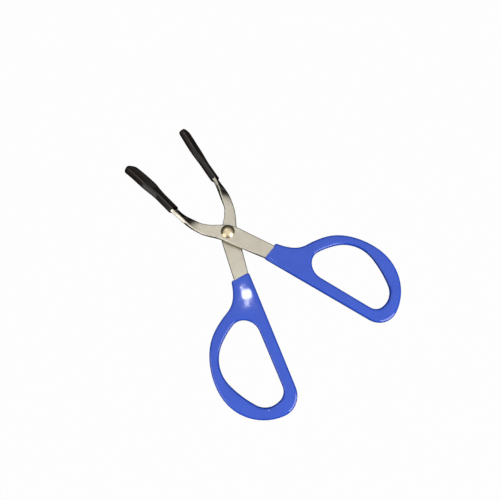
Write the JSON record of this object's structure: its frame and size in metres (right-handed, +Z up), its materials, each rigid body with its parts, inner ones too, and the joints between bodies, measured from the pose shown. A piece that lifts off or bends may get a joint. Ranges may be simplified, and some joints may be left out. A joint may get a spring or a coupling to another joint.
{
  "type": "print tongs",
  "caption": "Scissor tongs for wet photographic prints: flat crossed arms on a rivet, D-shaped coated finger loops and twisted blades in ribbed rubber sleeves.",
  "frame": {"origin": "middle of the plan outline in the pictured open pose, at the height of the lowest point of the lower jaw", "axes": "+Y from the finger loops toward the rubber tips, +Z up through the rivet from its formed tail to its domed head, X across the two loops"},
  "size_m": [0.1352, 0.1912, 0.0172],
  "materials": {
    "plated_steel": "satin nickel plating, brighter on the rounded edges",
    "blue_coating": "glossy dipped vinyl",
    "black_rubber": "semi-gloss moulded rubber",
    "rivet_metal": "polished, warm champagne tone",
    "washer_steel": "satin",
    "spacer_nylon": "matte natural nylon"
  },
  "bodies": {
    "lower": {"lower_arm": "plated_steel", "lower_grip": "blue_coating", "right_sleeve": "black_rubber", "pivot_rivet": "rivet_metal", "tail_washer": "washer_steel", "pivot_washer": "spacer_nylon"},
    "upper": {"upper_arm": "plated_steel", "upper_grip": "blue_coating", "left_sleeve": "black_rubber"}
  },
  "joints": [
    {"name": "pivot", "type": "hinge", "parent": "lower", "child": "upper", "pos_m": [0, 0.01284, 0.0087], "axis": [0, 0, -1], "range_deg": [-25, 27]}
  ]
}
